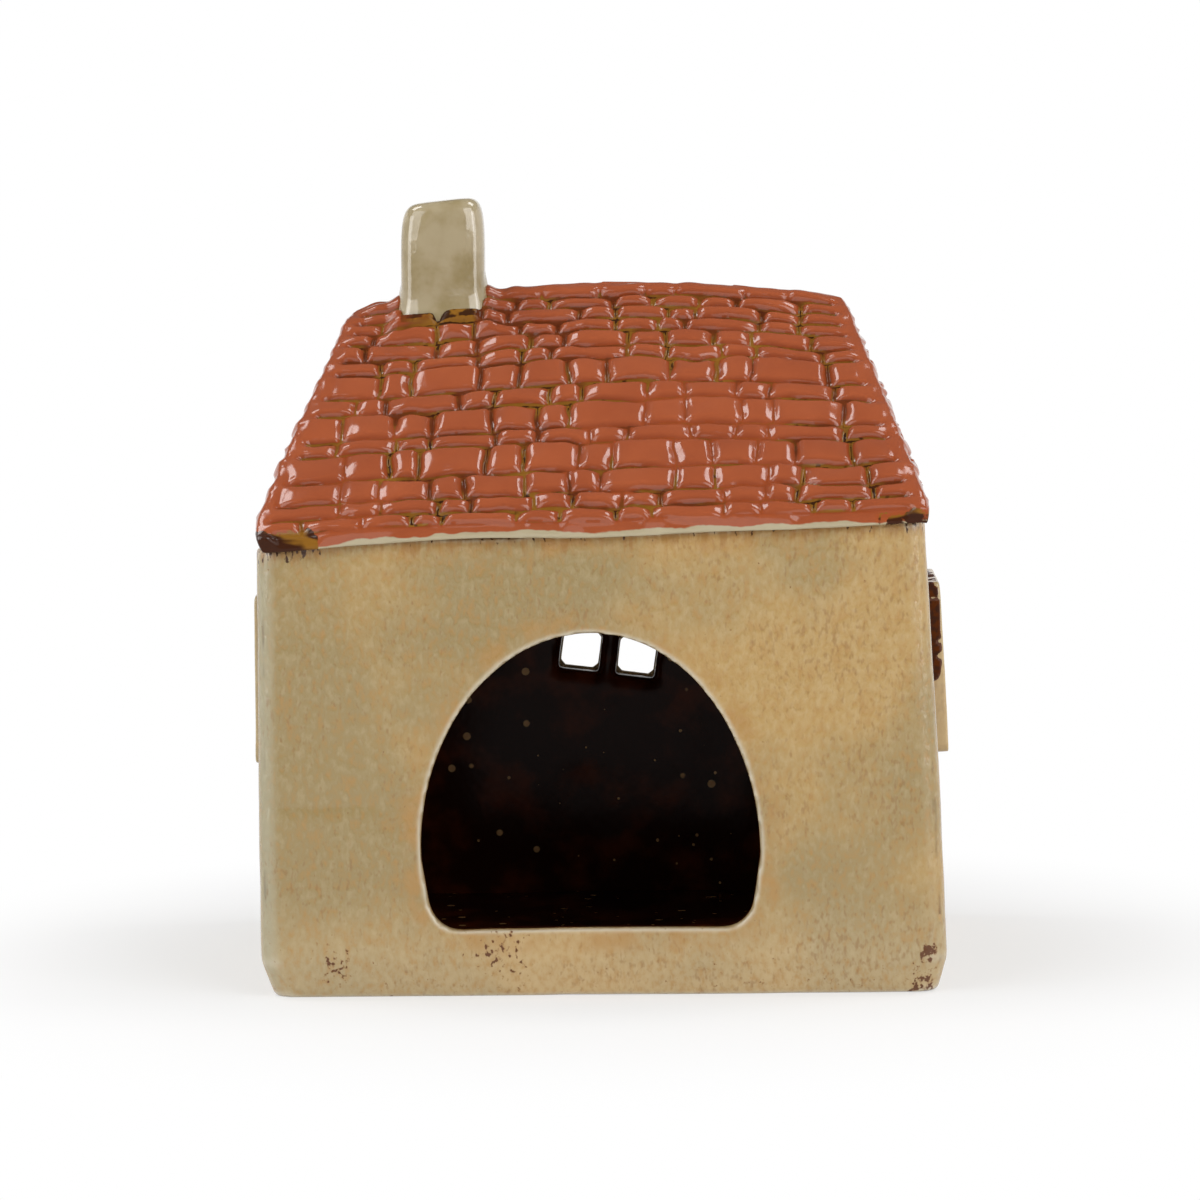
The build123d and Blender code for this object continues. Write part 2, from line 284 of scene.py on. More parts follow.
class Skin:
    """A softened shell round some slabs, as a mesh with its points, normals and how convex it is."""

    def __init__(self, shell, grain, soften):
        mesh = bpy.data.meshes.new("shell")
        shell.to_mesh(mesh)
        shell.free()
        holder = bpy.data.objects.new("shell", mesh)
        scene.collection.objects.link(holder)
        remesh = holder.modifiers.new("grain", "REMESH")
        remesh.mode = "VOXEL"
        remesh.voxel_size = grain
        sharp = mesh_points(baked(holder))
        smooth = holder.modifiers.new("soften", "SMOOTH")
        smooth.factor = 0.5
        smooth.iterations = soften
        self.mesh = baked(holder)
        bpy.data.objects.remove(holder)
        self.mesh.materials.clear()
        self.mesh.shade_smooth()
        self.points = mesh_points(self.mesh)
        normals = np.empty(3 * len(self.points))
        self.mesh.vertex_normals.foreach_get("vector", normals)
        self.normals = normals.reshape(-1, 3)
        self.convex = ((sharp - self.points) * self.normals).sum(axis=1)

    def spread(self, values, passes):
        """Values blurred along the mesh."""
        ends = np.empty(2 * len(self.mesh.edges), dtype=np.int64)
        self.mesh.edges.foreach_get("vertices", ends)
        first, second = ends.reshape(-1, 2).T
        count = np.bincount(ends, minlength=len(values))
        for _ in range(passes):
            total = np.bincount(first, values[second], len(values))
            total += np.bincount(second, values[first], len(values))
            values = (values + total / np.maximum(count, 1)) / 2
        return values

    def edge(self):
        """How strongly each point lies on an outer edge, from 0 to 1."""
        return np.clip(self.convex / EDGE_ROUND, 0, 1)

    def shape(self, points, **fields):
        """Moves the skin's points, and stores what its glaze reads."""
        self.mesh.vertices.foreach_set("co", points.ravel())
        for name, values in fields.items():
            field = self.mesh.attributes.new(name, "FLOAT", "POINT")
            field.data.foreach_set("value", np.ascontiguousarray(values, dtype=np.float32))
        self.mesh.update()


def joined(nodes):
    """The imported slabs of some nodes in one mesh."""
    shell = bmesh.new()
    for node in nodes:
        shell.from_mesh(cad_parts[node].data)
    return shell


def baked(holder):
    """A new mesh with an object's modifiers applied."""
    depsgraph = bpy.context.evaluated_depsgraph_get()
    return bpy.data.meshes.new_from_object(holder.evaluated_get(depsgraph))


def mesh_points(mesh):
    """A mesh's points as rows of an array."""
    points = np.empty(3 * len(mesh.vertices))
    mesh.vertices.foreach_get("co", points)
    return points.reshape(-1, 3)


def place_piece(mesh, node, *materials):
    """Puts a finished mesh in the scene in place of its slab."""
    piece = bpy.data.objects.new(f"{node}_clay", mesh)
    scene.collection.objects.link(piece)
    for material in materials:
        mesh.materials.append(material)
    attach(piece, "root")
    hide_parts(node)
    return piece


def cut_share(mesh, planes, side):
    """The closed part of a skin that belongs to one side: cut where another side's face is as near."""
    normal, level, _ = planes[side]
    shell = bmesh.new()
    shell.from_mesh(mesh)
    for other, (other_normal, other_level, _) in planes.items():
        if other == side:
            continue
        across = Vector(other_normal - normal)
        middle = across * (other_level - level) / across.length_squared
        everything = shell.verts[:] + shell.edges[:] + shell.faces[:]
        cut = bmesh.ops.bisect_plane(
            shell, geom=everything, plane_co=middle, plane_no=across, clear_outer=True
        )
        rim = [part for part in cut["geom_cut"] if isinstance(part, bmesh.types.BMEdge)]
        if rim:
            bmesh.ops.triangle_fill(shell, edges=rim, use_beauty=True)
            for edge in rim:
                edge.smooth = False
    bmesh.ops.recalc_face_normals(shell, faces=shell.faces)
    share = bpy.data.meshes.new(side)
    shell.to_mesh(share)
    shell.free()
    return share


def house_warp(points):
    """The slow unevenness that all the slabs share, so that their seams stay closed."""
    x, _, z = points.T
    moved = points + WOBBLE * drift(points, WOBBLE_SIZE, WOBBLE_SEED) * ease(0, WOBBLE_START, z)[:, None]
    rise = np.clip(z / eaves_mid_z, 0, 1)
    over_eaves = np.clip((z - eaves_mid_z) / (ridge_z - eaves_mid_z), 0, 1)
    moved[:, 2] += EXTRA_SETTLE * x * (rise ** 2 - 2 * over_eaves)
    moved[:, 2] += RIDGE_CROWN * over_eaves * np.cos(math.pi * x / half_width)
    moved[:, 2] += RIDGE_LIFT * over_eaves * ease(0, half_width / 2, x)
    return moved


def dimpled(skin):
    """Shared warp plus the shallow dents of a hand-pressed slab."""
    small = cloud(skin.points, DIMPLE_SIZE, DIMPLE_SEED)
    large = cloud(skin.points, 3 * DIMPLE_SIZE, DIMPLE_SEED + 1)
    dent = DIMPLE * (small + large)
    moved = house_warp(skin.points) + skin.normals * (dent + pane_fill(skin))[:, None]
    moved[:, 2] = np.maximum(moved[:, 2], 0)
    return moved


def pane_fill(skin):
    """How far each point of a pane's edge moves, along its normal, to close the pane a little."""
    fill = np.zeros(len(skin.points))
    for node in SEAMS:
        normal = WALL_PLANES[SEAM_SIDES[node]][0]
        low, high = (np.array(corner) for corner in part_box(node))
        thin = np.abs(normal).argmax()
        offset = np.abs(skin.points - (low + high) / 2)
        offset[:, thin] = np.maximum(offset[:, thin] - PANE_DEPTH, 0)
        within = (offset < (high - low) / 2 - PANE_MARGIN * (np.arange(3) != thin)).all(axis=1)
        fill = np.maximum(fill, within * (1 - ease(0.2, 0.9, np.abs(skin.normals @ normal))))
    return PANE_FILL * fill


def scorch_share(points):
    """How scorched the eaves are at each point: strong at two stretches of the rear, faint elsewhere."""
    x, y, _ = points.T
    faint = FAINT_SCORCH * ease(0.1, 0.7, cloud(points, FAINT_SCORCH_SIZE, SCORCH_SEED))
    strong = np.zeros(len(points))
    for at_x, reach, strength in SCORCHES:
        strong = np.maximum(strong, strength * (1 - ease(0.6 * reach, reach, np.abs(x - at_x))))
    return np.maximum(faint, strong * (1 - ease(*SCORCH_FADE, y)))


def mark_share(points):
    """How strongly each point lies in a cluster of specks on the rear wall."""
    x, y, z = points.T
    share = np.zeros(len(points))
    for at_x, at_z, reach, strength in MARKS:
        gap = np.hypot(x - at_x, z - at_z) / reach
        share = np.maximum(share, strength * (1 - ease(0.2, 1, gap)) * (y < 0))
    return share


def inside_share(points):
    """1 where the dark inside glaze and its painted shade lie: past the turn of the outer edges, and clear of
    the foot.
    """
    foot = FOOT_INSET * np.clip(1 - points[:, 2] / FOOT_HEIGHT, 0, 1)
    edge = GLAZE_TURN + foot + GLAZE_WAVE * cloud(points, GLAZE_WAVE_SIZE, GLAZE_SEED)
    return ease(edge, edge + GLAZE_TURN_FADE, depth_in_house(points)) * ease(*FOOT_LINE, points[:, 2])


def use_second_material(mesh):
    """Gives the second material to the faces whose field "dull" is over a half."""
    dull = np.empty(len(mesh.vertices))
    mesh.attributes["dull"].data.foreach_get("value", dull)
    corners = np.empty(len(mesh.loops), dtype=np.int32)
    mesh.loops.foreach_get("vertex_index", corners)
    starts = np.empty(len(mesh.polygons), dtype=np.int32)
    mesh.polygons.foreach_get("loop_start", starts)
    mesh.polygons.foreach_set("material_index", (dull[corners[starts]] > 0.5).astype(np.int32))


def make_walls(outside, lining):
    """The four walls as one skin, cut apart at the mitres."""
    skin = Skin(joined(f"{side}_wall" for side in SIDES), WALL_GRAIN, WALL_SOFTEN)
    x, y, z = skin.points.T
    shaped = dimpled(skin)
    crease = np.exp(-((z - CREASE_HEIGHT) / CREASE_HALF) ** 2)
    rear_left = ease(0.6 * half_width, 0.8 * half_width, -x) * (y < 0)
    shaped[:, 1] += CREASE_DEPTH * (crease * rear_left)
    inside = inside_share(skin.points)
    by_arch = (np.abs(x) < 0.7 * half_width) * ease(*HALO_FOOT, z) * (y < 0)
    skin.shape(
        shaped,
        inside=inside,
        dull=inside,
        rim=skin.spread(skin.edge(), RIM_BLUR),
        halo=skin.spread(skin.edge() * by_arch, HALO_BLUR),
        below_eaves=(eaves_z(x) - z) / MM,
        scorch=scorch_share(skin.points),
        marks=mark_share(skin.points),
    )
    for side in SIDES:
        piece = place_piece(cut_share(skin.mesh, WALL_PLANES, side), f"{side}_wall", outside, lining)
        use_second_material(piece.data)


def make_floor_slab(lining):
    """The floor, in the dark inside glaze with its painted shade."""
    skin = Skin(joined(["base_slab"]), WALL_GRAIN, WALL_SOFTEN)
    skin.shape(
        dimpled(skin),
        inside=ease(*FOOT_LINE, skin.points[:, 2]),
        below_eaves=(eaves_z(skin.points[:, 0]) - skin.points[:, 2]) / MM,
    )
    place_piece(skin.mesh, "base_slab", lining)


def make_trim(node, material, grain, bare):
    """A window, the door or its knob, pressed on a wall, with bare clay along the top of its seam."""
    skin = Skin(joined([node]), grain, TRIM_SOFTEN)
    low, high = (np.array(corner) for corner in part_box(node))
    upper = ease(-0.5, 0.2, (2 * skin.points - low - high)[:, 2] / (high - low)[2])
    facing = skin.normals @ WALL_PLANES[SEAM_SIDES[node]][0] if node in SEAMS else np.ones(len(skin.points))
    in_plane = np.argsort(high - low)[1:]
    from_edge = ((high - low) / 2 - np.abs(skin.points - (low + high) / 2))[:, in_plane].min(axis=1)
    rag = cloud(skin.points, SEAM_RAG_FINE, SEAM_SEED) + cloud(skin.points, SEAM_RAG_COARSE, SEAM_SEED + 1)
    on_side = (1 - ease(0.35, 0.75, facing)) * (from_edge < PANE_MARGIN)
    seam = SEAMS.get(node, 0) * upper * (1 + SEAM_RAG * rag) * on_side
    bared = np.clip((seam + depth_in_house(skin.points)) / SEAM_FADE + 0.5, 0, 1) * (seam > 0)
    skin.shape(
        dimpled(skin),
        rim=skin.spread(skin.edge(), TRIM_RIM_BLUR),
        convex=skin.convex / MM,
        bared=bared,
        dull=bared > SEAM_BARE,
    )
    piece = place_piece(skin.mesh, node, material, bare)
    use_second_material(piece.data)


def slope_axes(side):
    """Along one roof slope, up it and out of it."""
    normal = SLOPES[side][0]
    along = np.cross((0, 0, 1), normal)
    along /= np.linalg.norm(along)
    return along, np.cross(normal, along), normal


def tile_tops(side):
    """Each tile's flat top on one slope: its middle and half size along and up, and how high it stands."""
    along, up, normal = slope_axes(side)
    joints = SLOPES[side][1]
    shell = joined([f"{side}_roof_slab"])
    bmesh.ops.remove_doubles(shell, verts=shell.verts, dist=0.01 * MM)
    tops = {
        face for face in shell.faces
        if np.dot(face.normal, normal) > 0.99
        and np.dot(face.calc_center_median(), normal) > joints + TILE_LEAST
    }
    tiles = []
    while tops:
        patch = [tops.pop()]
        for face in patch:
            beside = {other for edge in face.edges for other in edge.link_faces} & tops
            tops -= beside
            patch.extend(beside)
        corners = np.array([vert.co for face in patch for vert in face.verts])
        flat = corners @ np.stack([along, up], axis=1)
        low, high = flat.min(axis=0), flat.max(axis=0)
        tiles.append((*(low + high) / 2, *(high - low) / 2, (corners @ normal).mean() - joints))
    shell.free()
    return sorted(tiles)


def flat_roof():
    """The four roof slabs with their tiles pressed flat."""
    shell = bmesh.new()
    for side in SIDES:
        normal, joints, _ = SLOPES[side]
        first = len(shell.verts)
        shell.from_mesh(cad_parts[f"{side}_roof_slab"].data)
        shell.verts.ensure_lookup_table()
        for vert in shell.verts[first:]:
            proud = max(0, np.dot(vert.co, normal) - joints)
            vert.co -= Vector(proud * normal)
    return shell


def tile_heights(points, side):
    """How high the tiles of one slope stand at each point, and how far up its own tile that is."""
    along, up, _ = slope_axes(side)
    wander = points + JOINT_WANDER * drift(points, JOINT_WANDER_SIZE, WANDER_SEED)
    wander += JOINT_RAG * drift(points, JOINT_RAG_SIZE, RAG_SEED)
    flat = wander @ np.stack([along, up], axis=1)
    height = np.zeros(len(points))
    relief = np.zeros(len(points))
    for middle_x, middle_y, half_x, half_y, rise in tile_tops(side):
        half = np.array((half_x, half_y)) + TILE_RIM
        offset = flat - (middle_x, middle_y)
        near = np.flatnonzero((np.abs(offset) < half).all(axis=1))
        offset = offset[near]
        across = offset / half
        cell = np.round(np.array([[middle_x, middle_y, 0]]) / MM).astype(np.int64)
        chance = np.array([2 * lattice(cell, TILE_SEED + i)[0] - 1 for i in range(6)])
        inset = half - JOINT_HALF - np.abs(offset)
        edge = 1 - (1 - np.clip(inset / TILE_ROUND, 0, 1)) ** 2
        reaches = np.minimum(SHOULDER_REACH * (1 + SHOULDER_SPREAD * chance[2:4]), SHOULDER_MOST * half_x)
        depths = SHOULDER * (1 + SHOULDER_SPREAD * chance[4:])
        end = (offset[:, 0] > 0).astype(int)
        fall = depths[end] * (1 - np.clip(inset[:, 0] / reaches[end], 0, 1)) ** SHOULDER_POWER
        crown = TILE_CROWN * (1 - across ** 2).prod(axis=1) + TILE_TILT * (across @ chance[:2])
        height[near] = edge.prod(axis=1) * (TILE_GROW * rise + crown - fall)
        relief[near] = edge.min(axis=1)
    return height, relief


def all_tile_heights(points, outer):
    """The tiles' heights and reliefs on the outer points of all four slopes."""
    nearest = roof_levels(points).argmax(axis=0)
    height = np.zeros(len(points))
    relief = np.zeros(len(points))
    for i, side in enumerate(SIDES):
        mine = np.flatnonzero((nearest == i) & (outer > 0))
        height[mine], relief[mine] = tile_heights(points[mine], side)
    return height, relief


def joint_fill(points, from_hip):
    """How far glaze fills the joints: in patches, and all along the hips and the ridge."""
    coarse = cloud(points, JOINT_FILL_SIZE, FILL_SEED)
    fine = cloud(points, JOINT_FILL_SIZE / 3, FILL_SEED + 1)
    band = 1 - ease(0.4 * HIP_BAND, HIP_BAND, from_hip)
    return np.maximum(JOINT_FILL * ease(0, 0.7, coarse + fine / 2), HIP_FILL * band)


def chimney_gap(points):
    """How far outside the chimney's plan each point is."""
    low, high = (np.array(corner[:2]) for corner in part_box("chimney"))
    return np.max(np.abs(points[:, :2] - (low + high) / 2) - (high - low) / 2, axis=1)


def settle_roof(shaped, points, outer, over_eaves):
    """Lets the eaves sag, tucks the left eaves in and rounds off the ends of the ridge."""
    sag = EAVES_SAG * ease(-0.6, 0.6, cloud(points * (1, 1, 0), EAVES_SAG_SIZE, SAG_SEED))
    shaped[:, 2] -= sag * (1 - ease(0, EAVES_SAG_HEIGHT, over_eaves))
    low_end = 1 - ease(0, LEFT_EAVES_TUCK_HEIGHT, points[:, 2] - eaves_left.z)
    shaped[:, 0] += LEFT_EAVES_TUCK * low_end * ease(0.9 * half_width, half_width, -points[:, 0])
    for end, depth in RIDGE_END_ROUND.items():
        three = [SLOPES[side] for side in ("rear", "front", end)]
        apex = np.linalg.solve([normal for normal, _, _ in three], [joints for _, joints, _ in three])
        gap = np.linalg.norm(points - apex, axis=1)
        shaped[:, 2] -= depth * outer * (1 - ease(0, RIDGE_END_SIZE, gap))


def make_roof(glossy, dry):
    """The four roof slabs as one tiled skin, cut apart at the hips and the ridge."""
    skin = Skin(flat_roof(), ROOF_GRAIN, ROOF_SOFTEN)
    points = skin.points
    level, from_hip = height_over_roof(points)
    outer = ease(*ROOF_SKIN, level)
    height, relief = all_tile_heights(points, outer)
    filled = joint_fill(points, from_hip)
    tile_top = TILE_GROW * np.mean([top - joints for _, joints, top in SLOPES.values()])
    height = skin.spread(height + filled * np.maximum(tile_top - height, 0), 1)
    from_chimney = chimney_gap(points)
    height += COLLAR * (1 - ease(0, COLLAR_REACH, from_chimney))
    over_eaves = points[:, 2] - eaves_z(points[:, 0])
    relief = 1 - (1 - relief) * (1 - filled)
    relief *= ease(*CHIMNEY_JOINT, from_chimney)
    relief = np.maximum(relief, 1 - ease(*EAVES_PLAIN, over_eaves))
    swell = TILE_SWELL * cloud(points, TILE_SWELL_SIZE, SWELL_SEED)
    lean = np.stack([skin.spread(skin.normals[:, axis], TILE_LEAN_BLUR) for axis in range(3)], axis=1)
    shaped = house_warp(points) + lean * (outer * (height - TILE_SINK + swell))[:, None]
    settle_roof(shaped, points, outer, over_eaves)
    scorch = scorch_share(points)
    skin.shape(
        shaped,
        inside=ease(*ROOF_INSIDE, -level) * ease(0, ROOF_INSIDE_EDGE, depth_in_house(points)),
        relief=relief,
        dull=(relief < DRY_RELIEF) | ((scorch > DRY_SCORCH) & (over_eaves < DRY_EAVES)),
        scorch=scorch,
        over_eaves=over_eaves / MM,
    )
    for side in SIDES:
        piece = place_piece(cut_share(skin.mesh, SLOPES, side), f"{side}_roof_slab", glossy, dry)
        use_second_material(piece.data)


def roof_z(x, y):
    """Height of the roof slabs' joints over a point of the plan."""
    return min((joints - x * normal[0] - y * normal[1]) / normal[2] for normal, joints, _ in SLOPES.values())


def chimney_shell():
    """The stack as a loft: squarish rings with round corners that close over a pillowy crown."""
    low, high = (Vector(corner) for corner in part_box("chimney"))
    middle, half = (low + high) / 2, (high - low) / 2
    shell = bmesh.new()
    rings = []
    for i in range(CHIMNEY_RINGS):
        rise = math.sin(math.pi / 2 * i / CHIMNEY_RINGS)
        closing = (1 - rise ** CHIMNEY_CROWN_SQUARENESS) ** (1 / CHIMNEY_CROWN_SQUARENESS)
        ring = []
        for j in range(CHIMNEY_SEGMENTS):
            turn = math.tau * j / CHIMNEY_SEGMENTS
            along, aside = math.cos(turn), math.sin(turn)
            squared = abs(along) ** CHIMNEY_SQUARENESS + abs(aside) ** CHIMNEY_SQUARENESS
            reach = closing * squared ** (-1 / CHIMNEY_SQUARENESS)
            x = middle.x + half.x * reach * along
            y = middle.y + (half.y - CHIMNEY_SLIM) * reach * aside
            foot = roof_z(x, y) - CHIMNEY_SINK
            ring.append(shell.verts.new((x, y, foot + rise * (high.z - foot))))
        rings.append(ring)
    for below, above in zip(rings, rings[1:]):
        for j in range(CHIMNEY_SEGMENTS):
            shell.faces.new((below[j - 1], below[j], above[j], above[j - 1]))
    shell.faces.new(rings[0][::-1])
    shell.faces.new(rings[-1])
    return shell


def make_chimney(material):
    """The stack, with a foot that flares where it was pressed on the roof."""
    skin = Skin(chimney_shell(), TRIM_GRAIN, CHIMNEY_SOFTEN)
    over_roof, _ = height_over_roof(skin.points)
    foot = 1 - ease(0, CHIMNEY_FLARE_HEIGHT, over_roof)
    shaped = dimpled(skin) + CHIMNEY_FLARE * foot[:, None] * skin.normals
    skin.shape(shaped, convex=skin.convex / MM, over_roof=over_roof / MM)
    place_piece(skin.mesh, "chimney", material)


# Materials

# Finish: how rough each glaze is, how strongly it mirrors, and how deep the orange peel of a glossy wall is
WALL_ROUGHNESS = 0.2
ROOF_ROUGHNESS = 0.13
CHIMNEY_ROUGHNESS = 0.09
DOOR_ROUGHNESS = 0.15
BARE_ROUGHNESS = 0.7
WALL_GLOSS = 0.5
LINING_GLOSS = 0.06
TILE_GLOSS = 0.6
JOINT_GLOSS = 0.1
CHIMNEY_GLOSS = 0.9
BARE_GLOSS = 0.1
WALL_PEEL = 0.5 * MM


class Glaze:
    """A principled glaze, with short names for the nodes that colour it."""

    def __init__(self, name, roughness, gloss=WALL_GLOSS):
        self.material = bpy.data.materials.new(name)
        self.material.use_nodes = True
        self.nodes = self.material.node_tree.nodes
        self.links = self.material.node_tree.links
        self.shader = self.nodes["Principled BSDF"]
        self.put(self.shader.inputs["Roughness"], roughness)
        self.put(self.shader.inputs["Specular IOR Level"], gloss)
        self.where = self.nodes.new("ShaderNodeTexCoord").outputs["Object"]

    def put(self, socket, value):
        if isinstance(value, bpy.types.NodeSocket):
            self.links.new(value, socket)
        else:
            socket.default_value = value

    def field(self, name):
        node = self.nodes.new("ShaderNodeAttribute")
        node.attribute_name = name
        return node.outputs["Fac"]

    def axis(self, name):
        node = self.nodes.new("ShaderNodeSeparateXYZ")
        self.links.new(self.where, node.inputs["Vector"])
        return node.outputs[name]

    def stretched(self, x, y, z):
        node = self.nodes.new("ShaderNodeMapping")
        self.links.new(self.where, node.inputs["Vector"])
        node.inputs["Scale"].default_value = (x, y, z)
        return node.outputs["Vector"]

    def noise(self, size, detail=3.0, where=None):
        node = self.nodes.new("ShaderNodeTexNoise")
        self.links.new(where or self.where, node.inputs["Vector"])
        node.inputs["Scale"].default_value = 1 / size
        node.inputs["Detail"].default_value = detail
        return node.outputs["Fac"]

    def specks(self, spacing, radius_share, kept_share):
        """Round spots at a few of the cells of a scatter."""
        node = self.nodes.new("ShaderNodeTexVoronoi")
        self.links.new(self.where, node.inputs["Vector"])
        node.inputs["Scale"].default_value = 1 / spacing
        near = self.ramp(node.outputs["Distance"], (radius_share, 1), (1.4 * radius_share, 0))
        split = self.nodes.new("ShaderNodeSeparateColor")
        self.links.new(node.outputs["Color"], split.inputs["Color"])
        kept = self.ramp(split.outputs["Red"], (kept_share, 1), (kept_share + 0.02, 0))
        return self.math("MULTIPLY", near, kept)

    def ramp(self, value, low, high):
        """Smoothly takes low[0] to low[1] and high[0] to high[1]."""
        node = self.nodes.new("ShaderNodeMapRange")
        node.interpolation_type = "SMOOTHSTEP"
        self.put(node.inputs["Value"], value)
        node.inputs["From Min"].default_value, node.inputs["To Min"].default_value = low
        node.inputs["From Max"].default_value, node.inputs["To Max"].default_value = high
        return node.outputs["Result"]

    def math(self, operation, first, second):
        node = self.nodes.new("ShaderNodeMath")
        node.operation = operation
        self.put(node.inputs[0], first)
        self.put(node.inputs[1], second)
        return node.outputs["Value"]

    def mix(self, share, first, second):
        node = self.nodes.new("ShaderNodeMix")
        node.data_type = "RGBA"
        self.put(node.inputs["Factor"], share)
        sockets = [socket for socket in node.inputs if socket.type == "RGBA"]
        for socket, colour in zip(sockets, (first, second)):
            self.put(socket, colour if isinstance(colour, bpy.types.NodeSocket) else (*colour, 1))
        return next(socket for socket in node.outputs if socket.type == "RGBA")

    def colour(self, value):
        self.put(self.shader.inputs["Base Color"], value)

    def bump(self, height, distance):
        node = self.nodes.new("ShaderNodeBump")
        node.inputs["Distance"].default_value = distance
        self.links.new(height, node.inputs["Height"])
        self.links.new(node.outputs["Normal"], self.shader.inputs["Normal"])


# Colours, linear
CREAM = (0.435, 0.285, 0.108)
CREAM_PALE = (0.58, 0.46, 0.28)
CREAM_WARM = (0.39, 0.215, 0.066)
SAGE = (0.275, 0.21, 0.095)
# Pale rims: thin glaze on edges with a painted highlight laid over it
PALE_RIM_AND_HIGHLIGHT = (0.58, 0.515, 0.39)
# Pale grey band down the rear left corner: a painted reflection
CORNER_SHEEN = (0.37, 0.345, 0.235)
RUST = (0.24, 0.115, 0.035)
STAIN = (0.30, 0.14, 0.035)
BARE = (0.045, 0.014, 0.006)
CHIP = (0.09, 0.02, 0.001)
# Near black: the dark lining glaze with painted shade for the inside of the house
DARK_GLAZE_AND_SHADE = (0.024, 0.005, 0.0012)
WARM_DARK_GLAZE_AND_SHADE = (0.1, 0.018, 0.003)
SPECK = (0.5, 0.29, 0.12)
TERRACOTTA = (0.385, 0.092, 0.03)
TERRACOTTA_DEEP = (0.26, 0.053, 0.016)
TERRACOTTA_THIN = (0.42, 0.145, 0.06)
JOINT = (0.13, 0.028, 0.008)
AMBER = (0.24, 0.105, 0.014)
UMBER = (0.045, 0.017, 0.006)
KHAKI = (0.385, 0.315, 0.192)
KHAKI_PALE = (0.41, 0.345, 0.22)


def dark_inside(glaze):
    """The dark glaze that lines the house, with tan specks, darkened further as painted shade inside the
    house.
    """
    tone = glaze.mix(glaze.ramp(glaze.noise(11 * MM), (0.45, 0), (0.7, 1)), DARK_GLAZE_AND_SHADE, WARM_DARK_GLAZE_AND_SHADE)
    tone = glaze.mix(glaze.specks(6 * MM, 0.11, 0.6), tone, SPECK)
    return glaze.mix(glaze.specks(4 * MM, 0.07, 0.7), tone, SPECK)


def cream_glaze(glaze):
    """Cream glaze that breaks to sage where it lies thick, to rust in its pits and to pale along edges, with
    painted bounce light towards the foot, a painted highlight on the rims and a painted reflection down the
    rear left corner.
    """
    greener = glaze.ramp(glaze.axis("X"), (-62 * MM, 0.18), (20 * MM, 0))
    clouds = glaze.math("ADD", glaze.noise(38 * MM, 3.0), greener)
    colour = glaze.mix(glaze.ramp(clouds, (0.44, 0), (0.68, 0.85)), CREAM, SAGE)
    grain = glaze.noise(1.1 * MM, 2.0, glaze.stretched(1, 1, 0.6))
    colour = glaze.mix(glaze.ramp(grain, (0.45, 0), (0.8, 0.22)), colour, CREAM_PALE)
    # Paler towards the foot: painted bounce light from the paper
    colour = glaze.mix(glaze.ramp(glaze.axis("Z"), (0, 0.35), (24 * MM, 0)), colour, CREAM_PALE)
    colour = glaze.mix(glaze.ramp(grain, (0.2, 0.7), (0.55, 0)), colour, CREAM_WARM)
    # Painted reflection: a pale grey band down the rear wall's left corner
    corner = glaze.math(
        "MULTIPLY",
        glaze.ramp(glaze.axis("X"), (-64 * MM, 0.7), (-60.5 * MM, 0)),
        glaze.ramp(glaze.axis("Y"), (-47 * MM, 1), (-44 * MM, 0)),
    )
    colour = glaze.mix(corner, colour, CORNER_SHEEN)
    pits = glaze.noise(0.8 * MM, 1.0, glaze.stretched(1, 1, 0.55))
    warmer = glaze.ramp(glaze.axis("X"), (-30 * MM, -0.03), (30 * MM, 0.03))
    where = glaze.math("ADD", glaze.ramp(glaze.noise(15 * MM, 3.0), (0.38, -0.08), (0.62, 0.05)), warmer)
    colour = glaze.mix(glaze.ramp(glaze.math("ADD", pits, where), (0.55, 0), (0.8, 0.45)), colour, RUST)
    streaky = glaze.ramp(glaze.noise(5 * MM, 4.0), (0.42, 0.1), (0.68, 0.75))
    stains = glaze.math("MULTIPLY", glaze.ramp(glaze.field("halo"), (0.02, 0), (0.09, 1)), streaky)
    colour = glaze.mix(stains, colour, CREAM_WARM)
    # Pale rims along edges: thin glaze, partly a painted highlight
    return glaze.mix(glaze.ramp(glaze.field("rim"), (0.1, 0), (0.5, 0.85)), colour, PALE_RIM_AND_HIGHLIGHT)


